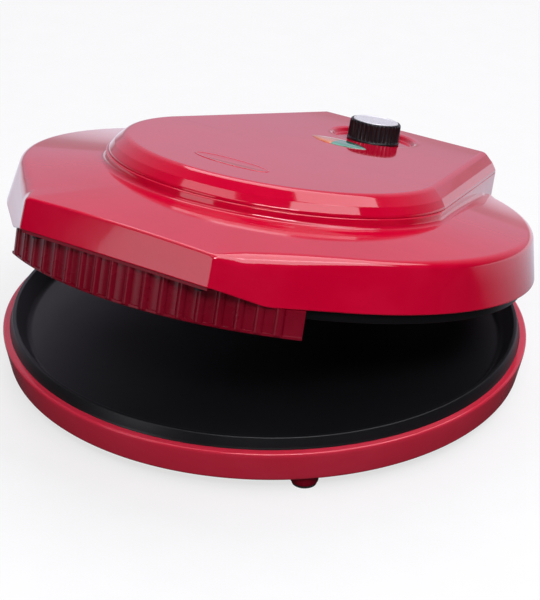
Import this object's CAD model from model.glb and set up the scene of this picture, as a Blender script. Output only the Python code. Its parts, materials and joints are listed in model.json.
# %% [markdown]
# # Electric pizza maker
# A round countertop pizza maker with a red base, a red lid that is tipped open on a rear hinge,
# two black baking plates, a ribbed guard under the handle and a knob on top.
# The measured frame comes first. Every piece below is built in that frame, in metres.

# %% The frame and its box
import json
import math

import bpy
import bmesh
from mathutils import Matrix, Vector

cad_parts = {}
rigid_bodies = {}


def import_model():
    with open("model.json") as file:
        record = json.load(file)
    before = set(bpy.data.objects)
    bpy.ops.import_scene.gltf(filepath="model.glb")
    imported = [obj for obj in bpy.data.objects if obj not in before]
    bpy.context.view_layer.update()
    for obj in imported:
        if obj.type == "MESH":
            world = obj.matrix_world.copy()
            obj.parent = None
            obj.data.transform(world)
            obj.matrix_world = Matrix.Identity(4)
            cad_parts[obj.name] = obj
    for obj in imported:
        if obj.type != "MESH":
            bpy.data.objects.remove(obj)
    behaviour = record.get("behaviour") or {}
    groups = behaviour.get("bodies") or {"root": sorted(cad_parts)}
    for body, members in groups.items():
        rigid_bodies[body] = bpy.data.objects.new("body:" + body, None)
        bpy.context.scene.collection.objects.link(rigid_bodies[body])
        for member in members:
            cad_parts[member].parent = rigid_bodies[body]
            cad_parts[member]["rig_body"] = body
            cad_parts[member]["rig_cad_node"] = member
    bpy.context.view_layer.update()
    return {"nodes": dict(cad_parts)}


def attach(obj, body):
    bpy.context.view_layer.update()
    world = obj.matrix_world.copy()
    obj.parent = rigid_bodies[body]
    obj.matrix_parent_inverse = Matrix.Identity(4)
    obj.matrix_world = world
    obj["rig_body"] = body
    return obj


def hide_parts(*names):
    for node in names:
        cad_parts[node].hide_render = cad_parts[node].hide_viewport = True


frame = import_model()
NODES = frame["nodes"]

# %% [markdown]
# ## Sizes
# The sizes are in millimetres, with the lid shut, and measured from the middle of the plates.
# Keeping them in one place means that the shell, the cover and the guard meet where they should.

# %% Sizes of the base, the plates and the lid
MM = 0.001
PLACE_Y = -11.0
HINGE_Y, HINGE_Z = 178.0, 39.5
LID_OPEN = 13.7

LIP_R, LIP_TOP, LIP_FOOT = 165.0, 28.5, 25.5
BASE_R, BASE_FOOT = 161.0, 8.0
PARTING_Z = 35.8
SKIRT_FOOT, CREASE_Z = 43.1, 72.0
SKIRT_TOP_R = 159.2
PLINTH_R, DECK_TOP, COVER_FOOT, COVER_TOP = 108.7, 79.0, 82.7, 94.9
COVER_R = 107.5
SIDE_OFFSET, SIDE_ANGLE = 107.2, math.radians(13.7)
REAR_Y, REAR_R = 167.0, 12.0
HANDLE_FOOT, HANDLE_HALF, HANDLE_Y, HANDLE_LEAN = 51.3, 65.0, 171.1, 2.4
GUARD_FOOT, GUARD_IN, GUARD_OUT = 26.5, 166.3, 167.9
KNOB_Y, KNOB_FOOT, KNOB_H = 114.0, 92.0, 13.6
LENS_Y, BADGE_Y = 68.0, 60.0
print("lip across", 2 * LIP_R, "mm; crease of the shut lid at", CREASE_Z, "mm")

# %% [markdown]
# ## Camera
# The camera comes first, because every later choice of shape and finish is judged through it.
# It stands in front and to the right, a little above the lid, and is turned very slightly. It
# could be aimed by a constraint, but a matrix written out keeps it where it is.

# %% Camera
AZIMUTH, ELEVATION, ROLL = (math.radians(v) for v in (32.484, 27.340, 1.219))
DISTANCE, LENS_LENGTH, AIM_RIGHT, AIM_UP = 1.26924, 120.65, 0.00293, 0.01228


def facing(azimuth, elevation):
    """Direction out from the object; azimuth counts from the front to the right."""
    return Vector((math.sin(azimuth) * math.cos(elevation),
                   -math.cos(azimuth) * math.cos(elevation), math.sin(elevation)))


def add_camera():
    back = facing(AZIMUTH, ELEVATION)
    right = Vector((math.cos(AZIMUTH), math.sin(AZIMUTH), 0))
    up = back.cross(right)
    target = right * AIM_RIGHT + Vector((0, PLACE_Y * MM, AIM_UP + LIP_TOP * MM))
    level = right * math.cos(ROLL) + up * math.sin(ROLL)
    plumb = up * math.cos(ROLL) - right * math.sin(ROLL)
    data = bpy.data.cameras.new("camera")
    data.sensor_width, data.sensor_fit = 36.0, "AUTO"
    data.lens, data.clip_end = LENS_LENGTH, 20.0
    camera = bpy.data.objects.new("camera", data)
    bpy.context.scene.collection.objects.link(camera)
    turn = Matrix((level, plumb, back)).transposed()
    camera.matrix_world = Matrix.Translation(target + back * DISTANCE) @ turn.to_4x4()
    bpy.context.scene.camera = camera
    return camera


camera = add_camera()
print("camera at", [round(v, 3) for v in camera.location])

# %% [markdown]
# ## Room, lamps and floor
# A glossy red body shows the room it stands in, so the room is part of the finish. Mirror rays see
# walls that are pale behind the object and dark in front of it, as in a studio with black cloth
# behind the camera. All else sees a dim even dome, and the camera sees white. One bright dome would
# be simpler, but then no edge would show. The shader helpers below serve the room and the finishes.

# %% Shader nodes in one line each
def node(tree, kind, **values):
    """Adds a shader node; keys set its fields, and keys that name an input set that input."""
    made = tree.nodes.new(kind)
    for key, value in values.items():
        if hasattr(made, key):
            setattr(made, key, value)
        else:
            made.inputs[key.replace("_", " ")].default_value = value
    return made


def connect(tree, *pairs):
    for source, target in pairs:
        tree.links.new(source, target)


def remap(tree, value, low, high, from_low=0.0, from_high=1.0, smooth_step=False):
    made = node(tree, "ShaderNodeMapRange", From_Min=from_low, From_Max=from_high,
                To_Min=low, To_Max=high)
    if smooth_step:
        made.interpolation_type = "SMOOTHSTEP"
    tree.links.new(value, made.inputs["Value"])
    return made.outputs[0]


def noise(tree, vector, scale, detail=2.0, rough=0.5):
    made = node(tree, "ShaderNodeTexNoise", Detail=detail, Roughness=rough)
    tree.links.new(vector, made.inputs["Vector"])
    if isinstance(scale, (int, float)):
        made.inputs["Scale"].default_value = scale
    else:
        tree.links.new(scale, made.inputs["Scale"])
    return made.outputs[0]


def mix_colours(tree, share, first, second):
    made = node(tree, "ShaderNodeMix", data_type="RGBA")
    made.inputs[6].default_value, made.inputs[7].default_value = (*first, 1), (*second, 1)
    tree.links.new(share, made.inputs[0])
    return made.outputs[2]


def mix_shaders(tree, share, first, second):
    made = node(tree, "ShaderNodeMixShader")
    connect(tree, (share, made.inputs[0]), (first, made.inputs[1]), (second, made.inputs[2]))
    return made.outputs[0]


# %% Room
WALL, CLOTH, DOME = (0.52, 0.46, 0.58), (0.012, 0.012, 0.014), 0.13
AWAY = (-0.537, 0.843, 0.0)


def along_room(tree, place, low, high, smooth_step=False):
    """How far back in the room a place or a direction lies, from 0 to 1."""
    along = node(tree, "ShaderNodeVectorMath", operation="DOT_PRODUCT")
    along.inputs[1].default_value = AWAY
    tree.links.new(place, along.inputs[0])
    return remap(tree, along.outputs["Value"], 0, 1, low, high, smooth_step)


def add_room():
    world = bpy.data.worlds.new("room")
    world.use_nodes = True
    tree = world.node_tree
    tree.nodes.clear()
    white = node(tree, "ShaderNodeBackground", Color=(1, 1, 1, 1), Strength=1.0)
    dome = node(tree, "ShaderNodeBackground", Color=(1, 1, 1, 1), Strength=DOME)
    walls = node(tree, "ShaderNodeBackground", Strength=1.0)
    place = node(tree, "ShaderNodeTexCoord").outputs["Generated"]
    path = node(tree, "ShaderNodeLightPath").outputs
    tint = mix_colours(tree, along_room(tree, place, 0.10, 0.95, True), CLOTH, WALL)
    shiny = mix_shaders(tree, path["Is Glossy Ray"], dome.outputs[0], walls.outputs[0])
    seen = mix_shaders(tree, path["Is Camera Ray"], shiny, white.outputs[0])
    connect(tree, (tint, walls.inputs["Color"]),
            (seen, node(tree, "ShaderNodeOutputWorld").inputs[0]))
    bpy.context.scene.world = world


add_room()
bpy.context.scene.view_settings.view_transform = "Standard"
print("world", bpy.context.scene.world.name)

# %% [markdown]
# ### Lamps
# Softboxes draw the edges that a dome leaves flat: a wide one on the right for the cover and the
# skirt, a narrow bright one for the line along the crease, one on the left, a low card that the
# handle's flat front mirrors, and a very wide one over the rear, which the flat tops mirror. Each
# is placed by the angles at which the object sees it, so a highlight can be moved in plain terms.

# %% Lamps
LAMPS_ABOUT, LAMP_COLOUR = Vector((0.0, -0.12, 0.10)), (0.96, 0.94, 1.0)
SOFTBOXES = (
    ("right_softbox", 85, 52, 2.2, (1.6, 0.9), 3.4),
    ("crease_softbox", 38, 43, 2.2, (1.05, 0.42), 15.0),
    ("left_softbox", -27, 58, 2.2, (1.63, 0.7), 1.9),
    ("low_card", -21.4, 9, 2.2, (0.93, 0.9), 1.7),
    ("back_softbox", 180, 64, 3.2, (4.4, 2.0), 3.0),
)


def add_softbox(name, azimuth, elevation, distance, size, level):
    """A softbox as seen from the object: angles from the front, and its own brightness."""
    data = bpy.data.lights.new(name, "AREA")
    data.shape = "RECTANGLE"
    data.size, data.size_y = size
    data.energy = level * math.pi * size[0] * size[1]
    data.color = LAMP_COLOUR
    lamp = bpy.data.objects.new(name, data)
    bpy.context.scene.collection.objects.link(lamp)
    toward = facing(math.radians(azimuth), math.radians(elevation))
    lamp.location = LAMPS_ABOUT + toward * distance
    lamp.rotation_euler = toward.to_track_quat("Z", "Y").to_euler()


for softbox in SOFTBOXES:
    add_softbox(*softbox)
print("lamps", [softbox[0] for softbox in SOFTBOXES])

# %% [markdown]
# ### Floor
# The floor is a plain pale sheet. To the camera it is nearly white and still keeps the shadow under
# the object. To mirror rays it is dark in front and bright behind, as the room is. A real studio
# does the same with cloths laid just outside the picture.

# %% Floor
FLOOR_STOPS = ((0.0, 0.03), (0.03, 0.04), (0.14, 0.85), (0.30, 0.95), (0.75, 0.42), (1.0, 0.38))
FLOOR_TINT, FLOOR_NEAR, FLOOR_FAR = (0.92, 0.95, 1.08), -0.1, 1.9
GLOW_SHARE = 0.70


def mirrored_floor(tree, place):
    """What mirror rays see: dark in front of the object, white behind it, then grey."""
    ramp = node(tree, "ShaderNodeValToRGB")
    stops = ramp.color_ramp.elements
    while len(stops) < len(FLOOR_STOPS):
        stops.new(0.5)
    for stop, (position, level) in zip(stops, FLOOR_STOPS):
        stop.position, stop.color = position, (*(tone * level for tone in FLOOR_TINT), 1)
    glow = node(tree, "ShaderNodeEmission", Strength=1.0)
    connect(tree, (along_room(tree, place, FLOOR_NEAR, FLOOR_FAR), ramp.inputs[0]),
            (ramp.outputs[0], glow.inputs["Color"]))
    return glow.outputs[0]


def floor_finish():
    """Pale floor with a faint grain; the camera sees it partly glow."""
    made = bpy.data.materials.new("pale_floor")
    made.use_nodes = True
    tree = made.node_tree
    shader, out = tree.nodes["Principled BSDF"], tree.nodes["Material Output"]
    shader.inputs["Roughness"].default_value = 0.6
    place = node(tree, "ShaderNodeTexCoord").outputs["Object"]
    path = node(tree, "ShaderNodeLightPath").outputs
    glow = node(tree, "ShaderNodeEmission", Color=(1, 1, 1, 1), Strength=1.0)
    grain = remap(tree, noise(tree, place, 40.0, 3.0), 0.95, 1.05)
    pale = remap(tree, path["Is Camera Ray"], 0.22, 0.80)
    shade = node(tree, "ShaderNodeMath", operation="MULTIPLY")
    share = remap(tree, path["Is Camera Ray"], 0.0, GLOW_SHARE)
    seen = mix_shaders(tree, share, shader.outputs[0], glow.outputs[0])
    both = mix_shaders(tree, path["Is Glossy Ray"], seen, mirrored_floor(tree, place))
    connect(tree, (grain, shade.inputs[0]), (pale, shade.inputs[1]),
            (shade.outputs[0], shader.inputs["Base Color"]), (both, out.inputs[0]))
    return made


bpy.ops.object.select_all(action="DESELECT")
bpy.ops.mesh.primitive_plane_add(size=6.0, location=(0, 0, 0))
floor = bpy.context.object
floor.name = "floor"
floor.data.materials.append(floor_finish())
print("floor", [round(v, 1) for v in floor.dimensions])

# %% [markdown]
# ## Hands for the work
# A few helpers keep the later cells short: one selects a single piece, one turns a profile with
# the Spin operator, one grows a shell ring by ring with Extrude, and one sets a piece down in the
# frame. The lid's pieces are modelled shut and level, and are then tipped open about the hinge, as
# the frame has them. That is easier than modelling on a slope.

# %% Select, merge, smooth and cut
def only(piece):
    if bpy.context.object and bpy.context.object.mode != "OBJECT":
        bpy.ops.object.mode_set(mode="OBJECT")
    bpy.ops.object.select_all(action="DESELECT")
    piece.select_set(True)
    bpy.context.view_layer.objects.active = piece


def edit_all(piece):
    only(piece)
    bpy.ops.object.mode_set(mode="EDIT")
    bpy.ops.mesh.select_all(action="SELECT")


def close_up(piece, gap=0.000004):
    """Merges doubles and turns the faces outwards."""
    edit_all(piece)
    bpy.ops.mesh.remove_doubles(threshold=gap)
    bpy.ops.mesh.dissolve_degenerate(threshold=gap)
    bpy.ops.mesh.select_all(action="SELECT")
    bpy.ops.mesh.normals_make_consistent(inside=False)
    bpy.ops.object.mode_set(mode="OBJECT")


def use_modifier(piece, kind, **values):
    only(piece)
    bpy.ops.object.modifier_add(type=kind)
    modifier = piece.modifiers[-1]
    for key, value in values.items():
        setattr(modifier, key, value)
    bpy.ops.object.modifier_apply(modifier=modifier.name)


def smooth(piece, degrees=32, weighted=False):
    only(piece)
    bpy.ops.object.shade_smooth_by_angle(angle=math.radians(degrees))
    if weighted:
        use_modifier(piece, "WEIGHTED_NORMAL", weight=80, keep_sharp=True)


def cut_away(piece, tool):
    """Cuts the tool's space out of the piece, and takes the tool away."""
    use_modifier(piece, "BOOLEAN", operation="DIFFERENCE", object=tool, solver="EXACT")
    bpy.data.objects.remove(tool)


def round_tool(radius, depth, place, turn):
    """A cylinder to cut with; place is in millimetres, turn in degrees."""
    bpy.ops.mesh.primitive_cylinder_add(
        vertices=48, radius=radius * MM, depth=depth * MM, location=[v * MM for v in place],
        rotation=[math.radians(v) for v in turn])
    return bpy.context.object


# %% Set down in the frame
TO_MIDDLE = Matrix.Translation((0, PLACE_Y * MM, 0))
HINGE = Vector((0, HINGE_Y * MM, HINGE_Z * MM))
TIP_OPEN = (Matrix.Translation(HINGE) @ Matrix.Rotation(math.radians(-LID_OPEN), 4, "X")
            @ Matrix.Translation(-HINGE))


def set_down(piece, tipped):
    """Puts a piece that was modelled about the plates' middle where the frame has it."""
    only(piece)
    piece.matrix_world = (TO_MIDDLE @ TIP_OPEN if tipped else TO_MIDDLE) @ piece.matrix_world
    bpy.ops.object.transform_apply(location=True, rotation=True, scale=True)


def join(first, *others):
    only(first)
    for other in others:
        other.select_set(True)
    bpy.ops.object.join()
    return first


print("hinge at", [round(v, 4) for v in TO_MIDDLE @ HINGE], "open by", LID_OPEN, "degrees")

# %% Profiles with rounds
def fillet(before, corner, after, radius, steps=6):
    """Points of a round of this radius at a corner of a line, as plane coordinates."""
    a, b, c = Vector(before), Vector(corner), Vector(after)
    u, v = (a - b).normalized(), (c - b).normalized()
    half = math.acos(max(-1.0, min(1.0, u.dot(v)))) / 2
    if radius < 0.01 or half > math.radians(89):
        return [tuple(b)] * (steps + 1)
    reach = min(radius / math.tan(half), 0.499 * (a - b).length, 0.499 * (c - b).length)
    radius = reach * math.tan(half)
    middle = b + (u + v).normalized() * radius / math.sin(half)
    start, end = b + u * reach - middle, b + v * reach - middle
    turn = start.angle_signed(end)
    turns = [-turn * i / steps for i in range(steps + 1)]
    return [tuple(middle + Matrix.Rotation(a, 2) @ start) for a in turns]


def profile(*corners):
    """A line through corners (r, z) or (r, z, round); the rounds are drawn as arcs."""
    line = []
    for i, corner in enumerate(corners):
        if len(corner) == 2 or i in (0, len(corners) - 1):
            line.append(corner[:2])
        else:
            line += fillet(corners[i - 1][:2], corner[:2], corners[i + 1][:2], corner[2])
    return line


print("points in a 2 mm round", len(fillet((0, 9), (0, 0), (9, 0), 2)))

# %% Turned shapes
def turned(name, line, steps=180, middle=(0, 0)):
    """Spins a closed or axis-to-axis line of (r, z) in millimetres about an upright axis."""
    bpy.ops.object.select_all(action="DESELECT")
    place = [(Vector((middle[0] + r, middle[1], z)) * MM) for r, z in line]
    bpy.ops.mesh.primitive_plane_add(size=0.01, location=(0, 0, 0))
    piece = bpy.context.object
    piece.name = piece.data.name = name
    bpy.ops.object.mode_set(mode="EDIT")
    bpy.ops.mesh.select_all(action="SELECT")
    bpy.ops.mesh.merge(type="CENTER")
    bpy.ops.transform.translate(value=place[0])
    for a, b in zip(place, place[1:]):
        bpy.ops.mesh.extrude_region_move(TRANSFORM_OT_translate={"value": b - a})
    bpy.ops.mesh.select_all(action="SELECT")
    bpy.ops.mesh.spin(steps=steps, angle=math.tau, axis=(0, 0, 1),
                      center=(middle[0] * MM, middle[1] * MM, 0))
    close_up(piece)
    return piece


# %% Shapes grown ring by ring
def lofted(name, rings, first="fill", last="fill"):
    """Grows a shell from a circle, one extruded ring at a time; rings hold (x, y, z) in mm."""
    count = len(rings[0])
    bpy.ops.object.select_all(action="DESELECT")
    bpy.ops.mesh.primitive_circle_add(vertices=count, radius=0.1)
    piece = bpy.context.object
    piece.name = piece.data.name = name
    bpy.ops.object.mode_set(mode="EDIT")
    if first == "fill":
        bpy.ops.mesh.select_all(action="SELECT")
        bpy.ops.mesh.edge_face_add()
    work = bmesh.from_edit_mesh(piece.data)
    work.verts.ensure_lookup_table()
    column = {v.index: i for i, v in enumerate(work.verts)}
    for index, i in column.items():
        work.verts[index].co = Vector(rings[0][i]) * MM
    for ring in rings[1:]:
        bpy.ops.mesh.extrude_edges_indiv()
        work = bmesh.from_edit_mesh(piece.data)
        work.verts.index_update()
        work.verts.ensure_lookup_table()
        fresh = {}
        for v in work.verts:
            if v.select:
                below = [e.other_vert(v).index for e in v.link_edges]
                fresh[v.index] = next(column[b] for b in below if b in column and b != v.index)
        for index, i in fresh.items():
            work.verts[index].co = Vector(ring[i]) * MM
        column = fresh
    if last == "fill":
        bpy.ops.mesh.edge_face_add()
    bmesh.update_edit_mesh(piece.data)
    close_up(piece)
    return piece


# %% [markdown]
# ## Base
# The base is a shallow moulded dish. Its wall leans out and runs into a thin lip without a step, so
# that the part leaves its mould upwards. A lathe shape is quickest made by drawing half of its
# section and spinning it. The section holds small rounds, because a moulded edge is never sharp and
# the round is what catches the light.

# %% Base shell
BASE_SECTION = (
    (138, BASE_FOOT), (BASE_R, BASE_FOOT, 3), (LIP_R - 0.3, LIP_FOOT, 8), (LIP_R, LIP_TOP, 2.4),
    (157, LIP_TOP, 0.3), (157, LIP_TOP - 2.5, 0.3), (158.5, LIP_TOP - 2.5, 0.3), (158.5, 11.5, 1.5),
    (126, 11.5, 0.3), (126, 9), (138, 9), (138, BASE_FOOT))
BUSH_HOLE_R, BUSH_HOLE_AT = 5.3, (0, 161, 18.5)


def red_base():
    piece = turned("base_body", profile(*BASE_SECTION), steps=240)
    cut_away(piece, round_tool(BUSH_HOLE_R, 20, BUSH_HOLE_AT, (90, 0, 0)))
    set_down(piece, tipped=False)
    smooth(piece, 40)
    return piece


base_body = red_base()
print("base body faces", len(base_body.data.polygons))

# %% [markdown]
# ## Baking plates
# Each plate is die cast: a flat baking face, a soft cove up to a rounded rim, and a flange that
# sits on the shell. Both plates are one shape, so one section is spun twice, the upper one turned
# over. Copying and rotating the lower one would do too, but a section is simpler to turn over.

# %% Baking plates
FACE_Z, RIM_TOP = 24.0, 35.6
PLATE_SECTION = (
    (0, FACE_Z), (149.2, FACE_Z, 5), (156.3, RIM_TOP, 0.8), (158.6, RIM_TOP, 0.8),
    (160.2, LIP_TOP + 1.2, 0.5), (160.8, LIP_TOP, 0.2), (156.8, LIP_TOP, 0.3), (154, 23, 1),
    (151.6, 21, 1), (0, 21))


def plate(name, turned_over):
    section = profile(*PLATE_SECTION)
    if turned_over:
        section = [(r, 2 * PARTING_Z - z) for r, z in section]
    piece = turned(name, section, steps=240)
    set_down(piece, tipped=turned_over)
    smooth(piece, 40)
    return piece


lower_plate = plate("baking_plate_lower", False)
upper_plate = plate("baking_plate_upper", True)
print("plates rim to rim when shut", round(2 * (PARTING_Z - RIM_TOP), 2), "mm")

# %% [markdown]
# ## Outline of the lid's top tier
# The top tier has a round front, two straight sides that close in to the rear, and two rounded rear
# corners. The same outline makes the tier's wall, its foot and its cover, each drawn a little in or
# out. So the outline is a list of places with the direction that points straight out of each.

# %% Outline with outward directions
FRONT_ROUND = 9.0
TIER_COUNTS = (56, 10, 44, 12, 16)


def unit(angle):
    return Vector((math.cos(angle), math.sin(angle)))


def join_mid(r, offset):
    """Middle of the round between the front circle and a straight side, and its polar angle."""
    turn = SIDE_ANGLE - math.acos((offset - FRONT_ROUND) / (r - FRONT_ROUND))
    return unit(turn) * (r - FRONT_ROUND), turn


def rear_mid(grow=0.0):
    y = REAR_Y + grow - REAR_R
    x = (SIDE_OFFSET + grow - REAR_R - y * math.sin(SIDE_ANGLE)) / math.cos(SIDE_ANGLE)
    return Vector((x, y))


def arc(middle, r, first, last, count):
    """Places round a middle, each with its outward direction; the last angle is left out."""
    turns = [first + (last - first) * i / count for i in range(count)]
    return [(middle + unit(a) * r, unit(a)) for a in turns]


def tier_half(r, grow, counts=TIER_COUNTS):
    """Right half of the outline from the front to the rear middle, as (place, outward)."""
    mid, turn = join_mid(r, SIDE_OFFSET + grow)
    rear, right = rear_mid(grow), math.pi / 2
    side = unit(SIDE_ANGLE)
    half = arc(Vector((0, 0)), r, -right, turn, counts[0])
    half += arc(mid, FRONT_ROUND, turn, SIDE_ANGLE, counts[1])
    a, b = mid + side * FRONT_ROUND, rear + side * REAR_R
    half += [(a.lerp(b, i / counts[2]), side) for i in range(counts[2])]
    half += arc(rear, REAR_R, SIDE_ANGLE, right, counts[3])
    a, b = rear + Vector((0, REAR_R)), Vector((0, rear.y + REAR_R))
    return half + [(a.lerp(b, i / counts[4]), Vector((0, 1))) for i in range(counts[4] + 1)]


def mirror_round(half):
    """Completes a half ring of (x, y, z) with its mirror image."""
    return half + [(-x, y, z) for x, y, z in reversed(half[1:-1])]


def tier_ring(half, out, z):
    return mirror_round([(p.x + n.x * out, p.y + n.y * out, z) for p, n in half])


print("outline points", len(tier_ring(tier_half(COVER_R, 0.0), 0, 0)))

# %% [markdown]
# ## Top cover
# The cover is a low cap over the tier: an upright band, a slanted one above it, and a wide round
# that runs into the flat top. Its rings come from the outline above, because a Bevel modifier would
# give one round where the real edge has three parts. The dish for the knob, the lamp opening and
# the shallow oval place are then cut with Boolean modifiers, as a mould would form them.

# %% Ovals and tools
def pointed_oval(length, width, steps=20):
    """Half outline of a pointed oval: the front arc from the left tip to the right tip."""
    r = (length * length + width * width) / (4 * width)
    half = math.asin(length / 2 / r)
    turns = [-half + 2 * half * i / steps for i in range(steps + 1)]
    return [(r * math.sin(a), -(r * math.cos(a) - (r - width / 2))) for a in turns]


def both_halves(front):
    """Closes a front arc with the same arc behind it."""
    return front + [(x, -y) for x, y in reversed(front[1:-1])]


def oval_outline(length, width, steps=96):
    turns = [math.tau * i / steps for i in range(steps)]
    return [(length / 2 * math.cos(a), width / 2 * math.sin(a)) for a in turns]


def upright(name, outline, z0, z1, middle=(0, 0)):
    rings = [[(x + middle[0], y + middle[1], z) for x, y in outline] for z in (z0, z1)]
    return lofted(name, rings)


LENS_HOLE = both_halves(pointed_oval(41.2, 18.2))
OVAL_HOLE = oval_outline(52.2, 18.2)
print("points round the lens", len(LENS_HOLE), "and the oval", len(OVAL_HOLE))

# %% Cover
TOOL_TOP = 99
DISH_SECTION = (
    (0, 91.7), (25.6, 91.7, 1.6), (27.4, 94.1, 1.2), (29.2, 94.72, 2), (32.5, 94.91),
    (32.5, TOOL_TOP), (0, TOOL_TOP))


def cover_edge():
    """The cover's wall from its foot to the flat top, as (outward, level)."""
    foot, low, high = (-0.2, COVER_FOOT), (-0.2, 84.2), (-3.2, 88.8)
    top, flat = (-9.4, COVER_TOP), (-18, COVER_TOP)
    lip = [(-0.6, COVER_FOOT), (-0.3, COVER_FOOT + 0.15), (-0.2, COVER_FOOT + 0.45)]
    return (lip + fillet(foot, low, high, 2.6, 5) + fillet(low, high, top, 2.2, 4)
            + fillet(high, top, flat, 6.0, 7))


def red_cover():
    half = tier_half(COVER_R, 0.0)
    rings = [tier_ring(half, -3.0, COVER_FOOT + 3), tier_ring(half, -3.0, COVER_FOOT)]
    rings += [tier_ring(half, out, z) for out, z in cover_edge()]
    piece = lofted("cover_body", rings)
    middle = (0, KNOB_Y)
    cut_away(piece, turned("dish_tool", profile(*DISH_SECTION), 160, middle))
    cut_away(piece, turned("shaft_tool", [(0, 80), (4, 80), (4, 96), (0, 96)], 48, middle))
    cut_away(piece, upright("lens_tool", LENS_HOLE, 80, TOOL_TOP, (0, LENS_Y)))
    cut_away(piece, upright("oval_tool", OVAL_HOLE, 93.9, TOOL_TOP, (0, -BADGE_Y)))
    set_down(piece, tipped=True)
    smooth(piece, 30, weighted=True)
    return piece


cover_body = red_cover()
print("cover body faces", len(cover_body.data.polygons))

# %% [markdown]
# ## Lid shell
# The lid shell is the largest form: a leaning round skirt, a shoulder that rises gently to the
# tier, a flat-fronted handle that grows out of the skirt, and the straight rear housing. It could
# be several bodies joined by Booleans, but the joints would show in the gloss. Here it is one
# shell. Every column of faces runs from the lower edge, over the crease, up the shoulder and tier.

# %% Where the lid's wall stands, seen from above
def wall_radius(z):
    return LIP_R + (SKIRT_TOP_R - LIP_R) * (z - SKIRT_FOOT) / (CREASE_Z - SKIRT_FOOT)


def front_at(z):
    return HANDLE_Y - HANDLE_LEAN * (z - HANDLE_FOOT) / (CREASE_Z - HANDLE_FOOT)


SHOULDER_SLOPE, HANDLE_CORNER = 0.0947, 4.0


def shoulder_at(r):
    return CREASE_Z - SHOULDER_SLOPE * (r - SKIRT_TOP_R)


def handle_reach(turn, z, corner=HANDLE_CORNER):
    """Distance of the wall from the middle at level z; turn is the angle from the front."""
    r, f = wall_radius(z), front_at(z)
    flank = math.atan(HANDLE_HALF / f) + math.acos(r / math.hypot(HANDLE_HALF, f))
    cx, cy = HANDLE_HALF - corner * math.tan(flank / 2), f - corner
    first = math.atan2(cx, f)
    last = math.atan2(cx + corner * math.sin(flank), cy + corner * math.cos(flank))
    if turn <= first:
        return f / math.cos(turn)
    if turn <= last:
        along = cx * math.sin(turn) + cy * math.cos(turn)
        return along + math.sqrt(max(0.0, corner ** 2 - (cx * cx + cy * cy - along ** 2)))
    if turn <= flank:
        return r / math.cos(turn - flank)
    return r


def tier_reach(turn):
    """Distance of the tier's wall from the middle; turn is the angle from the front."""
    theta = turn - math.pi / 2
    mid, start = join_mid(PLINTH_R, SIDE_OFFSET)
    last = mid + unit(SIDE_ANGLE) * FRONT_ROUND
    if theta <= start:
        return PLINTH_R
    if theta <= math.atan2(last.y, last.x):
        along = mid.dot(unit(theta))
        return along + math.sqrt(FRONT_ROUND ** 2 - (mid.length_squared - along ** 2))
    return SIDE_OFFSET / math.cos(theta - SIDE_ANGLE)


def housing_meets(r):
    """Angle from the front at which the circle of radius r meets the tier's straight side."""
    return math.pi / 2 + SIDE_ANGLE + math.acos(SIDE_OFFSET / r)


def ramp_up(value, start, length):
    """0 up to the start, 1 past the start and the length, and straight in between."""
    return max(0.0, min(1.0, (value - start) / length))


def lower_edge(x):
    """Level of the lid's lower edge: raised under the handle."""
    return HANDLE_FOOT - (HANDLE_FOOT - SKIRT_FOOT) * ramp_up(abs(x), 66, 22)


print("handle's flat front reaches", round(handle_reach(0.0, HANDLE_FOOT), 1), "mm")

# %% Columns of the lid shell
def spread(a, b, count):
    return [math.radians(a + (b - a) * i / count) for i in range(count)]


LAST = housing_meets(SKIRT_TOP_R)
FRONT_TURNS = (spread(0, 19.6, 14) + spread(19.6, 22.6, 16) + spread(22.6, 27, 5)
               + spread(27, 45, 10) + spread(45, 51, 6) + spread(51, 130, 44)
               + spread(130, math.degrees(LAST), 22))
WALL_STEPS, CREASE_STEPS, FOOT_STEPS = 8, 7, 7


def crease_round(turn):
    """Radius of the crease: tight on the handle, widest beside it, less along the skirt."""
    degrees = math.degrees(turn)
    return 1.9 + 7.6 * (ramp_up(degrees, 20, 5) - 0.55 * ramp_up(degrees, 34, 16))


def front_column(turn, share):
    """One column as (turn, r, z) from the lower edge to the tier's top."""
    edge_z = lower_edge(handle_reach(turn, HANDLE_FOOT) * math.sin(turn))
    crease = CREASE_Z
    for _ in range(6):
        crease = shoulder_at(handle_reach(turn, crease))
    outer, inner, low = handle_reach(turn, crease), tier_reach(turn), handle_reach(turn, edge_z)
    inner_z = shoulder_at(min(inner, outer))
    bend = share * max(0.0, outer - inner)
    corner, foot, top = (outer, crease), (inner, inner_z), (inner, COVER_FOOT)
    first, wall_end = edge_z + 1, max(edge_z + 2, crease - 16)
    levels = [first + (wall_end - edge_z - 1) * i / WALL_STEPS for i in range(WALL_STEPS + 1)]
    wall = [(handle_reach(turn, z), z) for z in levels]
    above = (handle_reach(turn, edge_z + 6), edge_z + 6)
    line = fillet((low - 2, edge_z), (low, edge_z), above, 0.8, 3) + wall
    line += fillet(wall[-1], corner, foot, min(crease_round(turn), bend), CREASE_STEPS)
    line += fillet(corner, foot, top, min(3.2, bend), FOOT_STEPS)
    line += fillet(foot, top, (inner - 3, COVER_FOOT), 0.7, 3)
    return [(turn, r, z) for r, z in line]


print("front columns", len(FRONT_TURNS), "of", len(front_column(0.0, 0.45)), "points")

# %% Rings of the lid shell
HOUSING_STEPS = (8, 12, 10)
BLEND_COLUMNS = 24
LOW_INSETS = (0.8, 0.3, 0.05)
TOP_INSETS, TOP_DROPS = (0.0, 0.05, 0.3, 0.7), (0.7, 0.35, 0.1, 0.0)


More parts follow.
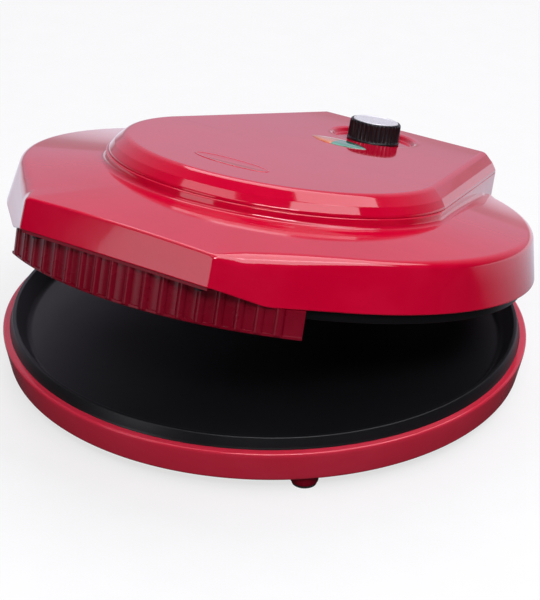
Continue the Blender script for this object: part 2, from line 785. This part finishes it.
def housing_point(r, step):
    """A place on the straight housing, from where radius r meets it to the rear middle."""
    turn = housing_meets(r)
    a = Vector((math.sin(turn), -math.cos(turn))) * r
    rear = rear_mid()
    b = rear + unit(SIDE_ANGLE) * REAR_R
    line, corner, back = HOUSING_STEPS
    if step <= line:
        return a.lerp(b, step / line)
    if step <= line + corner:
        angle = SIDE_ANGLE + (math.pi / 2 - SIDE_ANGLE) * (step - line) / corner
        return rear + unit(angle) * REAR_R
    return Vector((rear.x * (1 - (step - line - corner) / back), rear.y + REAR_R))


def lid_columns():
    """The front columns; near the housing their rounds shrink to nothing."""
    count = len(FRONT_TURNS)
    return [front_column(turn, min(0.45, 0.45 * (count - i) / 6))
            for i, turn in enumerate(FRONT_TURNS)]


def lid_rings():
    """Half of each ring follows the columns, then the housing; the rest is its mirror image."""
    columns, rings = lid_columns(), []
    count, wall_end = len(columns[0]), 4 + WALL_STEPS
    wall_z = columns[-1][wall_end][2]
    for k in range(count):
        if k <= wall_end:
            z = columns[-1][k][2]
            r = wall_radius(z)
        else:
            z = wall_z + (COVER_FOOT - wall_z) * (k - wall_end) / (count - 1 - wall_end)
            r = min(wall_radius(min(z, CREASE_Z)), SKIRT_TOP_R)
        shift = housing_meets(max(r, SKIRT_TOP_R)) - LAST
        half = []
        for i, column in enumerate(columns):
            turn, reach, level = column[k]
            behind = (i - (len(columns) - BLEND_COLUMNS)) / BLEND_COLUMNS
            if behind > 0 and k <= wall_end:
                turn += shift * behind ** 2
            half.append((math.sin(turn) * reach, -math.cos(turn) * reach, level))
        inset = LOW_INSETS[k] if k < 3 else 0.0
        if k >= count - 4:
            inset, z = TOP_INSETS[k - count + 4], COVER_FOOT - TOP_DROPS[k - count + 4]
        for step in range(sum(HOUSING_STEPS) + 1):
            p = housing_point(r, step)
            p = p - (p - Vector((0, 60))).normalized() * inset
            half.append((p.x, p.y, z))
        half[-1] = (0.0, half[-1][1], half[-1][2])
        rings.append(mirror_round(half))
    return rings


rings = lid_rings()
print("lid rings", len(rings), "of", len(rings[0]), "points")

# %% Lid shell
INNER_R, ROOF_R = 157, 154


def lid_underside(first):
    """Rings from the inside of the shell out to its lower edge."""
    low, seat, inner, roof, top = [], [], [], [], []
    for x, y, z in first:
        r = math.hypot(x, y)
        near = min(LIP_R - 0.3, r) / r
        raised = z > SKIRT_FOOT + 0.01
        low.append((x * near, y * near, SKIRT_FOOT) if raised else (x, y, z))
        seat.append((x * INNER_R / r, y * INNER_R / r, SKIRT_FOOT))
        inner.append((x * INNER_R / r, y * INNER_R / r, 45.6))
        roof.append((x * ROOF_R / r, y * ROOF_R / r, 69.0))
        top.append((0, 0, 73.6))
    bridge = [(x, y, b[2]) for (x, y, z), b in zip(low, first)]
    return [top, roof, inner, seat, low, bridge]


def red_lid():
    ledge = []
    for x, y, z in rings[-1]:
        near = 1 - 5 / math.hypot(x, y)
        ledge.append((x * near, y * near, COVER_FOOT))
    deck = [(x, y, DECK_TOP) for x, y, z in ledge]
    middle = [(0, 30, DECK_TOP)] * len(deck)
    every = lid_underside(rings[0]) + rings + [ledge, deck, middle]
    return lofted("lid_body", every, first="open", last="open")


lid_body = red_lid()
print("lid body faces", len(lid_body.data.polygons))

# %% [markdown]
# ### Hinge lugs
# Two arms on the lid's rear wall carry the hinge pins. Each is a flat outline with a round end,
# grown to its width, bevelled and bored, and then joined to the shell. The deck is also cut through
# for the thermostat, and only then is the whole lid tipped open.

# %% Hinge lugs and the way through for the thermostat
LUG_X, LUG_W, LUG_R, PIN_HOLE_R = 45, 14, 9, 4.05


def hinge_lug(side):
    """Arm on the lid's rear wall with a round end and a bore for the pin."""
    outline = [(REAR_Y - 2, HINGE_Z + 17), (REAR_Y - 2, SKIRT_FOOT + 0.5),
               (HINGE_Y - 8.6, HINGE_Z - 2)]
    turns = [math.radians(195 + 255 * i / 24) for i in range(25)]
    outline += [(HINGE_Y + LUG_R * math.cos(a), HINGE_Z + LUG_R * math.sin(a)) for a in turns]
    x0 = side * LUG_X - LUG_W // 2
    piece = lofted("lug", [[(x, y, z) for y, z in outline] for x in (x0, x0 + LUG_W)])
    use_modifier(piece, "BEVEL", width=0.7 * MM, segments=2, limit_method="ANGLE",
                 angle_limit=math.radians(50))
    cut_away(piece, round_tool(PIN_HOLE_R, 30, (side * LUG_X, HINGE_Y, HINGE_Z), (0, 90, 0)))
    return piece


def box_tool(x, y, z, size):
    bpy.ops.mesh.primitive_cube_add(size=1, location=(x * MM, y * MM, z * MM))
    tool = bpy.context.object
    tool.scale = [v * MM for v in size]
    bpy.ops.object.transform_apply(location=False, rotation=False, scale=True)
    return tool


cut_away(lid_body, box_tool(0, KNOB_Y, 75, (33, 33, 16)))
lugs = [hinge_lug(side) for side in (-1, 1)]
join(lid_body, *lugs)
set_down(lid_body, tipped=True)
smooth(lid_body, 38)
print("lid body faces with its lugs", len(lid_body.data.polygons))

# %% [markdown]
# ## Finger guard
# Under the handle hangs a curved guard with upright ribs, which keeps fingers off the hot rims. The
# ribs could be cylinders stuck to a wall, but they are moulded with it, so the wall's own outline
# swells at each rib. A thin lip runs along its foot and a plain band closes its right end.

# %% Outline of the guard
FIRST_RIB, LAST_RIB, RIB_PITCH, RIB_R, RIB_OUT = -8, 9, 3.75, 3.0, 1.8
GUARD_LEFT, GUARD_RIGHT, BAND, BAND_OUT, LIP_OUT = -32.0, 38.5, 3.8, 0.75, 0.9
ACROSS_RIB = (0.12, 0.35, 0.55, 0.72, 0.84, 0.93, 0.98)


def rib_swell(degrees):
    """How far the guard's face stands out at this angle because of a rib."""
    nearest = round(degrees / RIB_PITCH)
    across = math.radians(degrees - nearest * RIB_PITCH) * GUARD_OUT
    if not FIRST_RIB <= nearest <= LAST_RIB or abs(across) > RIB_R:
        return 0.0
    return max(0.0, RIB_OUT - RIB_R + math.sqrt(RIB_R ** 2 - across ** 2))


def guard_angles():
    across = [-a for a in reversed(ACROSS_RIB)] + list(ACROSS_RIB)
    angles = [GUARD_LEFT, GUARD_LEFT + 0.12, GUARD_LEFT + 0.35]
    for rib in range(FIRST_RIB, LAST_RIB + 1):
        angles += [rib * RIB_PITCH + a for a in across]
    edge = GUARD_RIGHT - BAND
    return angles + [edge - 0.05, edge + 0.12, edge + 0.35, GUARD_RIGHT - 0.35,
                     GUARD_RIGHT - 0.12, GUARD_RIGHT]


def guard_face(degrees, level):
    """Radius of the guard's outer face; level is the height above its foot."""
    edge = GUARD_RIGHT - degrees
    radius = GUARD_OUT
    if edge < BAND:
        radius += BAND_OUT * (1 if 0.1 < edge < BAND - 0.1 else 0.5)
    if level >= 0.8:
        swell = rib_swell(degrees) * min(1.0, (level - 0.8) / 0.5 + 0.6)
        radius = max(radius, GUARD_OUT + swell)
    if level <= 1.7:
        radius = max(radius, GUARD_OUT + LIP_OUT - (0.35 if level < 0.3 else 0.0))
    return radius


print("points along the guard", len(guard_angles()))

# %% Guard and the shelf above it
GUARD_LEVELS = (0.0, 0.35, 1.3, 1.6, 1.75, 3.0, 8.0, 14.0, 24.74)
SHELF_HALF, SHELF_R, SHELF_FOOT, SHELF_TOP = 63.5, 166.9, 49.55, 51.22


def ribbed_guard():
    angles = guard_angles()
    rings = []
    for level in GUARD_LEVELS:
        places = [(a, guard_face(a, level)) for a in angles]
        places += [(a, GUARD_IN) for a in reversed(angles)]
        ring = []
        for a, r in places:
            t = math.radians(a)
            x, top = r * math.sin(t), lower_edge(r * math.sin(t)) - 0.06
            z = top if level == GUARD_LEVELS[-1] else min(GUARD_FOOT + level, top)
            ring.append((x, -r * math.cos(t), z))
        rings.append(ring)
    return lofted("guard_body", rings)


def guard_shelf():
    """Thin shelf that closes the handle's underside, from the guard to the handle's front."""
    front = front_at(49.5) - 1.3
    outline = [(-SHELF_HALF, -front), (SHELF_HALF, -front)]
    across = [SHELF_HALF - 2 * SHELF_HALF * i / 24 for i in range(25)]
    outline += [(x, -math.sqrt(SHELF_R ** 2 - x ** 2)) for x in across]
    return upright("ledge", outline, SHELF_FOOT, SHELF_TOP)


guard_body = ribbed_guard()
join(guard_body, guard_shelf())
set_down(guard_body, tipped=True)
smooth(guard_body, 40)
print("guard faces", len(guard_body.data.polygons), "for", LAST_RIB - FIRST_RIB + 1, "ribs")

# %% [markdown]
# ## Knob
# The knob is a black moulded cup with fluted sides and a pale disc let into its top. The flutes
# could be cut by an array of rods. Here a fluted ring is grown upwards ring by ring, which keeps
# the flutes crisp and lets them run out under the rim.

# %% Knob
FLUTES, FLUTE_STEPS = 36, 8
KNOB_TOP = KNOB_FOOT + KNOB_H
KNOB_RINGS = (
    (3.2, 0, KNOB_TOP - 3), (3.2, 0, KNOB_FOOT), (17.1, 0, KNOB_FOOT), (17.4, 0, KNOB_FOOT + 0.3),
    (17.5, 0, KNOB_FOOT + 0.8), (17.4, 0, KNOB_FOOT + 1.4), (17.1, 0, KNOB_FOOT + 1.7),
    (17.1, 0.85, KNOB_FOOT + 2.1), (16.9, 0.85, KNOB_TOP - 2.2), (16.8, 0.55, KNOB_TOP - 1.3),
    (16.5, 0.2, KNOB_TOP - 0.5), (16.1, 0.0, KNOB_TOP - 0.12), (15.7, 0, KNOB_TOP),
    (15.1, 0, KNOB_TOP - 0.1), (15.0, 0, KNOB_TOP - 0.4), (15.0, 0, KNOB_TOP - 1.0))


def fluted_ring(radius, depth, z):
    """A ring round the knob's middle; depth is how far its flutes go in."""
    made = []
    for i in range(FLUTES * FLUTE_STEPS):
        a = math.tau * i / (FLUTES * FLUTE_STEPS)
        wave = 0.5 - 0.5 * math.cos(math.tau * i / FLUTE_STEPS)
        r = radius - depth * wave ** 0.6
        made.append((r * math.cos(a), KNOB_Y + r * math.sin(a), z))
    return made


def fluted_knob():
    rings = [fluted_ring(*row) for row in KNOB_RINGS]
    rings.append([(0, KNOB_Y, KNOB_TOP - 1.0)] * len(rings[0]))
    piece = lofted("knob_body", rings, first="fill", last="open")
    set_down(piece, tipped=True)
    smooth(piece, 40)
    return piece


knob_body = fluted_knob()
print("knob flutes", FLUTES)

# %% Disc in the knob's top
DISC_SECTION = (
    (0, KNOB_TOP - 1), (14.9, KNOB_TOP - 1), (14.9, KNOB_TOP + 0.42, 0.5),
    (13.2, KNOB_TOP + 0.42, 0.3), (12.9, KNOB_TOP + 0.2, 0.3), (0, KNOB_TOP + 0.2))


def knob_disc():
    piece = turned("knob_disc", profile(*DISC_SECTION), steps=120, middle=(0, KNOB_Y))
    cut_away(piece, box_tool(0, KNOB_Y - 10.2, KNOB_TOP + 0.6, (1.6, 7, 1.2)))
    set_down(piece, tipped=True)
    smooth(piece, 35, weighted=True)
    return piece


knob_top = knob_disc()
print("disc faces", len(knob_top.data.polygons))

# %% [markdown]
# ## Lamp lens and oval place
# Two lamps sit under one pointed-oval lens, orange on the left and green on the right. Each half is
# a clear moulding with a softly domed top. Both are cut from one dome with Bisect, so that they
# match at the joint. In front of them a thin bare oval plate in the colour of the cover fills a
# shallow place. Its rim is a row of small steps out and in, which reads as one soft round.

# %% Lens halves
LENS_DOME = ((1.0, -0.1), (0.985, 0.25), (0.95, 0.5), (0.86, 0.78), (0.7, 1.0), (0.5, 1.12),
             (0.25, 1.18), (0.0, 1.19))
LENS_FOOT, LENS_JOINT, LENS_GAP = 92.4, -1.0, 0.05


def lens_half(side):
    """Half of the domed lens; each outline is a share of the full one, above the cover's top."""
    full = both_halves(pointed_oval(41.0, 18.0, 36))
    levels = [(1.0, LENS_FOOT)] + [(share, COVER_TOP + up) for share, up in LENS_DOME]
    rings = [[(x * share, LENS_Y + y * share, z) for x, y in full] for share, z in levels]
    piece = lofted("lens_left" if side < 0 else "lens_right", rings, last="open")
    joint = ((LENS_JOINT + side * LENS_GAP) * MM, 0, 0)
    edit_all(piece)
    bpy.ops.mesh.bisect(plane_co=joint, plane_no=(1, 0, 0), use_fill=True,
                        clear_inner=side > 0, clear_outer=side < 0)
    bpy.ops.object.mode_set(mode="OBJECT")
    close_up(piece)
    set_down(piece, tipped=True)
    smooth(piece, 50)
    return piece


lens_left, lens_right = lens_half(-1), lens_half(1)
print("lens faces", len(lens_left.data.polygons), len(lens_right.data.polygons))

# %% Oval place
OVAL_RIM = ((0, -0.05), (0.12, 0.16), (0.4, 0.28), (1.1, 0.29), (1.5, 0.1), (1.9, 0.06))


def oval_place():
    levels = [(0, 93.95)] + [(inset, COVER_TOP + up) for inset, up in OVAL_RIM]
    rings = [[(x, y - BADGE_Y, z) for x, y in oval_outline(52 - 2 * inset, 18 - 2 * inset)]
             for inset, z in levels]
    piece = lofted("oval_place", rings)
    set_down(piece, tipped=True)
    smooth(piece, 40)
    return piece


oval_body = oval_place()
print("oval faces", len(oval_body.data.polygons))

# %% [markdown]
# ## Small moulded parts
# The brackets, feet, caps and bush have plain shapes that the frame already holds. They could be
# modelled again, but a copy of each node is truer: it is merged, and its edges are given a small
# bevel, so that they catch the light as moulded edges do.

# %% Softened copies
ROUNDED = {"hinge_bracket_left": 0.6, "hinge_bracket_right": 0.6, "feet": 0.5, "foot_pads": 0.25,
           "hinge_caps": 0.4, "cord_bush": 0.3, "hinge_pins": 0.2}


def softened(name, width):
    only(NODES[name])
    bpy.ops.object.duplicate()
    piece = bpy.context.object
    piece.name = piece.data.name = name + "_finished"
    piece.parent = None
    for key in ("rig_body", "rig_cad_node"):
        if key in piece:
            del piece[key]
    edit_all(piece)
    bpy.ops.mesh.remove_doubles(threshold=0.00001)
    bpy.ops.mesh.dissolve_limited(angle_limit=math.radians(1.0))
    bpy.ops.object.mode_set(mode="OBJECT")
    use_modifier(piece, "BEVEL", width=width * MM, segments=2, limit_method="ANGLE",
                 angle_limit=math.radians(40))
    smooth(piece, 35)
    return piece


small_parts = {name: softened(name, width) for name, width in ROUNDED.items()}
print("softened", sorted(small_parts))

# %% [markdown]
# ## Shared surface effects
# Three small node groups hold what several finishes share: the faint ripple and handling marks of a
# glossy moulding, the fine grain and flecks of a coating, and the drawn lines of metal. Each gives
# masks and heights only, and each finish decides what to do with them. One big group with many
# switches would be harder to read. The scales are per metre, on object coordinates.

# %% Making a group
def new_group(name, inputs, outputs):
    tree = bpy.data.node_groups.new(name, "ShaderNodeTree")
    for label, kind, value in inputs:
        made = tree.interface.new_socket(label, in_out="INPUT", socket_type=kind)
        if value is not None:
            made.default_value = value
    for label in outputs:
        tree.interface.new_socket(label, in_out="OUTPUT", socket_type="NodeSocketFloat")
    return tree, node(tree, "NodeGroupInput").outputs, node(tree, "NodeGroupOutput").inputs


def put_out(tree, end, *values):
    connect(tree, *zip(values, end))
    print(tree.name, "gives", [socket.name for socket in end[:len(values)]])


VECTOR = ("Vector", "NodeSocketVector", None)


# %% Skin of a moulding
def moulded_skin():
    """Ripple of a moulded face, soft handling marks, and fine specks of dust."""
    tree, start, end = new_group("moulded_skin", (
        VECTOR, ("Ripple Scale", "NodeSocketFloat", 420.0),
        ("Mark Scale", "NodeSocketFloat", 26.0)), ("Ripple", "Marks", "Dust"))
    ripple = noise(tree, start[0], start[1], 1.5)
    marks = remap(tree, noise(tree, start[0], start[2], 4.0, 0.62), 0, 1, 0.38, 0.68, True)
    dust = remap(tree, noise(tree, start[0], 2600.0, 0.0), 0, 1, 0.74, 0.80)
    put_out(tree, end, ripple, marks, dust)
    return tree


SKIN = moulded_skin()


# %% Grain of a coating
def coated_grain():
    """Fine sprayed grain with sparse paler flecks, and broad patches of polish."""
    tree, start, end = new_group("coated_grain", (
        VECTOR, ("Grain Scale", "NodeSocketFloat", 1500.0)), ("Grain", "Flecks", "Polish"))
    grain = noise(tree, start[0], start[1], 3.0, 0.6)
    cells = node(tree, "ShaderNodeTexVoronoi", Scale=900.0, Randomness=1.0)
    tree.links.new(start[0], cells.inputs["Vector"])
    flecks = remap(tree, cells.outputs["Distance"], 1, 0, 0.05, 0.14)
    polish = remap(tree, noise(tree, start[0], 22.0, 3.0), 0, 1, 0.35, 0.7, True)
    put_out(tree, end, grain, flecks, polish)
    return tree


GRAIN = coated_grain()


# %% Lines of drawn metal
def drawn_lines():
    """Lines left by drawing or rolling, and cloudy patches across them."""
    tree, start, end = new_group("drawn_lines", (
        VECTOR, ("Stretch", "NodeSocketVector", (1.0, 14.0, 14.0)),
        ("Line Scale", "NodeSocketFloat", 160.0)), ("Lines", "Clouds"))
    pull = node(tree, "ShaderNodeVectorMath", operation="MULTIPLY")
    connect(tree, (start[0], pull.inputs[0]), (start[1], pull.inputs[1]))
    lines = noise(tree, pull.outputs[0], start[2], 4.0, 0.7)
    clouds = remap(tree, noise(tree, start[0], 60.0, 4.0), 0, 1, 0.35, 0.65, True)
    put_out(tree, end, lines, clouds)
    return tree


LINES = drawn_lines()

# %% [markdown]
# ## Finishes
# A finish is one Principled shader with two tones mixed by a mask, a roughness that follows the
# marks, and a shallow bump. The steady numbers, such as the coat, stand on the shader itself.
# Writing each finish as one call keeps its numbers side by side, where they are easy to compare.

# %% Making a finish
HABITS = {"moulded_skin": ("Marks", "Ripple"), "coated_grain": ("Polish", "Grain"),
          "drawn_lines": ("Clouds", "Lines")}


def finish(name, group, tone, second, rough, depth, strength=0.5, mask=None, rough_mask=None,
           coat=0.0, coat_rough=0.03, metal=0.0, ior=1.5, **settings):
    """One finish; rough is (low, high) along its mask, depth is the bump's height in metres."""
    usual, height = HABITS[group.name]
    mask = mask or usual
    made = bpy.data.materials.new(name)
    made.use_nodes = True
    tree = made.node_tree
    shader = tree.nodes["Principled BSDF"]
    where = node(tree, "ShaderNodeTexCoord")
    effect = node(tree, "ShaderNodeGroup")
    effect.node_tree = group
    for label, value in settings.items():
        effect.inputs[label.replace("_", " ")].default_value = value
    bump = node(tree, "ShaderNodeBump", Strength=strength, Distance=depth)
    tones = mix_colours(tree, effect.outputs[mask], tone, second)
    connect(tree, (where.outputs["Object"], effect.inputs["Vector"]),
            (tones, shader.inputs["Base Color"]),
            (remap(tree, effect.outputs[rough_mask or mask], *rough), shader.inputs["Roughness"]),
            (effect.outputs[height], bump.inputs["Height"]),
            (bump.outputs[0], shader.inputs["Normal"]))
    for label, value in (("Metallic", metal), ("IOR", ior), ("Coat Weight", coat),
                         ("Coat Roughness", coat_rough)):
        shader.inputs[label].default_value = value
    return made


print("mask and height of each group", HABITS)

# %% [markdown]
# ### Red mouldings
# The shell, the cover and the handle are one glossy red moulding. Its skin is smooth, with a faint
# ripple that softens the edge of each reflection. The base is a slightly paler red with a softer
# gloss, and the guard and the feet are a darker, duller one. One red with three roughnesses would
# be simpler, but the photographed parts differ in tone too.

# %% Reds
red_gloss = finish("red_gloss", SKIN, (0.540, 0.0, 0.025), (0.570, 0.002, 0.030), (0.06, 0.11),
                   0.00004, 0.05, coat=0.45, coat_rough=0.025)
dark_gloss = finish("dark_red_gloss", SKIN, (0.180, 0.0, 0.010), (0.210, 0.001, 0.014),
                    (0.24, 0.34), 0.00008, 0.18, coat_rough=0.08, ior=1.42, Ripple_Scale=700.0)
base_gloss = finish("base_red_gloss", SKIN, (0.640, 0.022, 0.052), (0.670, 0.026, 0.060),
                    (0.18, 0.26), 0.00006, 0.12, coat=0.35, coat_rough=0.05)
print("reds", red_gloss.name, dark_gloss.name, base_gloss.name)

# %% [markdown]
# ### Plate coating
# The baking plates are aluminium with a black non-stick coating: satin, finely grained, with sparse
# flecks, and a little smoother where it has been wiped. The flecks come from Voronoi cells, since
# noise alone looks like cloud.

# %% Coating
coating = finish("nonstick_coating", GRAIN, (0.0075, 0.0078, 0.0088), (0.030, 0.031, 0.033),
                 (0.40, 0.32), 0.00004, 0.3, mask="Flecks", rough_mask="Polish", ior=1.42)
print("coating", coating.name)

# %% [markdown]
# ### Black and white mouldings, rubber
# The knob is a black moulding with a fine spark-eroded grain. The bush and the link wires share it.
# The foot pads are matt rubber. The heatproof parts inside are an ivory-white moulding. One grain
# group serves all of them, because only its scale and its depth differ.

# %% Black, white and rubber
black_moulding = finish("black_moulding", GRAIN, (0.0065, 0.0065, 0.0075), (0.011, 0.011, 0.012),
                        (0.34, 0.26), 0.00004, 0.25, ior=1.42, Grain_Scale=2200.0)
rubber = finish("pad_rubber", GRAIN, (0.014, 0.014, 0.014), (0.028, 0.028, 0.029), (0.85, 0.7),
                0.00012, 0.6, Grain_Scale=1800.0)
white_moulding = finish("heatproof_white", GRAIN, (0.74, 0.72, 0.66), (0.66, 0.63, 0.56),
                        (0.42, 0.55), 0.00006, 0.35)
print("plain mouldings", black_moulding.name, rubber.name, white_moulding.name)

# %% [markdown]
# ### Metals
# Turned and drawn steel keeps fine lines, sheet keeps the clouds of its zinc coat, the heating
# tubes are dulled and browned by heat, and the knob's disc is a fine satin silver. Anisotropy could
# draw the lines too, but stretched noise also gives them a place and a depth.

# %% Metals
screw_steel = finish("screw_steel", LINES, (0.56, 0.55, 0.53), (0.44, 0.43, 0.42), (0.24, 0.38),
                     0.00003, 0.4, rough_mask="Lines", metal=1.0, Line_Scale=500.0)
dark_screw = finish("blackened_steel", LINES, (0.030, 0.022, 0.024), (0.050, 0.036, 0.038),
                    (0.42, 0.58), 0.00003, 0.4, rough_mask="Lines", metal=0.6, Line_Scale=500.0)
sheet_steel = finish("coated_sheet", LINES, (0.60, 0.61, 0.63), (0.50, 0.51, 0.54), (0.26, 0.44),
                     0.00004, 0.35, metal=1.0)
under_sheet = finish("painted_sheet", GRAIN, (0.030, 0.030, 0.032), (0.055, 0.055, 0.058),
                     (0.55, 0.42), 0.00008, 0.4, Grain_Scale=1200.0)
heated_tube = finish("heated_tube", LINES, (0.20, 0.18, 0.16), (0.10, 0.075, 0.06), (0.38, 0.55),
                     0.00004, metal=0.85)
silver_disc = finish("silver_disc", LINES, (0.86, 0.87, 0.89), (0.80, 0.81, 0.83), (0.24, 0.32),
                     0.00001, 0.2, rough_mask="Lines", coat=0.2, coat_rough=0.05, metal=0.35,
                     Line_Scale=900.0, Stretch=(1.0, 6.0, 6.0))
print("metals", screw_steel.name, sheet_steel.name, heated_tube.name, silver_disc.name)

# %% [markdown]
# ### Lenses, lamps and wires
# The lens halves are tinted clear mouldings with fine upright ridges on their inner face, which
# show through as soft bands. Real glass with the lamp behind it would be slower and noisier to
# render, and the bands are what the eye sees. The wires have a slightly waxy sleeve.

# %% Lenses and wires
def lens_finish(name, deep, lit):
    """Tinted lens: soft bands from the ridges behind it, and a clear polished face."""
    made = finish(name, SKIN, deep, lit, (0.08, 0.14), 0.00002, 0.15, coat=1.0, coat_rough=0.01)
    tree = made.node_tree
    where, marks = tree.nodes["Texture Coordinate"], tree.nodes["Group"].outputs["Marks"]
    bands = node(tree, "ShaderNodeTexWave", Scale=260.0, Distortion=0.6, Detail=1.0)
    both = node(tree, "ShaderNodeMath", operation="MULTIPLY_ADD")
    both.inputs[1].default_value = 0.45
    connect(tree, (where.outputs["Object"], bands.inputs["Vector"]),
            (bands.outputs["Fac"], both.inputs[0]), (marks, both.inputs[2]),
            (both.outputs[0], tree.nodes["Mix"].inputs[0]))
    return made


orange_lens = lens_finish("orange_lens", (0.46, 0.085, 0.03), (0.70, 0.22, 0.09))
green_lens = lens_finish("green_lens", (0.018, 0.165, 0.110), (0.05, 0.30, 0.21))
lamp_glass = finish("lamp_glass", SKIN, (0.62, 0.42, 0.30), (0.74, 0.58, 0.44), (0.05, 0.12),
                    0.00002, 0.2, coat=0.8)
blue_sleeve = finish("wire_sleeve", SKIN, (0.030, 0.130, 0.420), (0.045, 0.165, 0.480),
                     (0.38, 0.5), 0.00006, 0.3)
cream_sleeve = finish("fuse_sleeve", GRAIN, (0.78, 0.72, 0.56), (0.68, 0.61, 0.46), (0.5, 0.65),
                      0.00008, 0.4)
print("finishes", len(bpy.data.materials))

# %% [markdown]
# ## Dressing the pieces
# Each modelled piece takes its finish, rides on its body and stands for its node. The nodes that
# keep their own mesh take a finish too, through their material slots. Two tables do both, so that a
# missing piece is easy to see.

# %% Modelled pieces
DRESS = (
    (base_body, base_gloss, "base", "red_plastic", "base_shell"),
    (lower_plate, coating, "base", "nonstick", "lower_baking_plate"),
    (upper_plate, coating, "lid", "nonstick", "upper_baking_plate"),
    (cover_body, red_gloss, "lid", "red_plastic", "top_cover"),
    (lid_body, red_gloss, "lid", "red_plastic", "lid_shell"),
    (guard_body, dark_gloss, "lid", "dark_red_plastic", "finger_guard"),
    (knob_body, black_moulding, "knob", "black_plastic", "control_knob"),
    (knob_top, silver_disc, "knob", "cap_metal", "knob_cap"),
    (lens_left, orange_lens, "lid", "lens_orange", "lens_orange"),
    (lens_right, green_lens, "lid", "lens_green", "lens_green"),
    (oval_body, red_gloss, "lid", "red_plastic", "badge_plate"),
)
DRESS_SMALL = (
    ("hinge_bracket_left", base_gloss, "red_plastic"),
    ("hinge_bracket_right", base_gloss, "red_plastic"), ("feet", dark_gloss, "dark_red_plastic"),
    ("foot_pads", rubber, "rubber"), ("hinge_caps", dark_gloss, "dark_red_plastic"),
    ("cord_bush", black_moulding, "black_plastic"), ("hinge_pins", screw_steel, "screw_steel"),
)


def dress(piece, skin, body, slot, replaced):
    piece.data.materials.clear()
    piece.data.materials.append(skin)
    for face in piece.data.polygons:
        face.material_index = 0
    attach(piece, body)
    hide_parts(replaced)


for row in DRESS:
    dress(*row)
for name, skin, slot in DRESS_SMALL:
    dress(small_parts[name], skin, "base", slot, name)
print("modelled pieces", len(DRESS) + len(DRESS_SMALL))

# %% Nodes that keep their mesh
KEPT = (
    (under_sheet, "bottom_plate"), (heated_tube, "lower_element upper_element"),
    (sheet_steel, "lower_element_clips upper_element_clips lower_reflector upper_reflector "
                  "thermostat_bracket"),
    (screw_steel, "base_screws bracket_screws terminal_screws lid_screws cover_screws "
                  "thermostat_screws thermostat_nut thermostat_spindle"),
    (dark_screw, "guard_screws"), (white_moulding, "terminal_block thermostat_body lamp_holder"),
    (cream_sleeve, "thermal_fuse"), (blue_sleeve, "base_wires lid_wires"),
    (black_moulding, "link_wires"), (lamp_glass, "pilot_lamps"),
)
for skin, names in KEPT:
    for name in names.split():
        for place in NODES[name].material_slots:
            place.material = skin
print("kept nodes", sum(len(names.split()) for _, names in KEPT), "of", len(NODES))
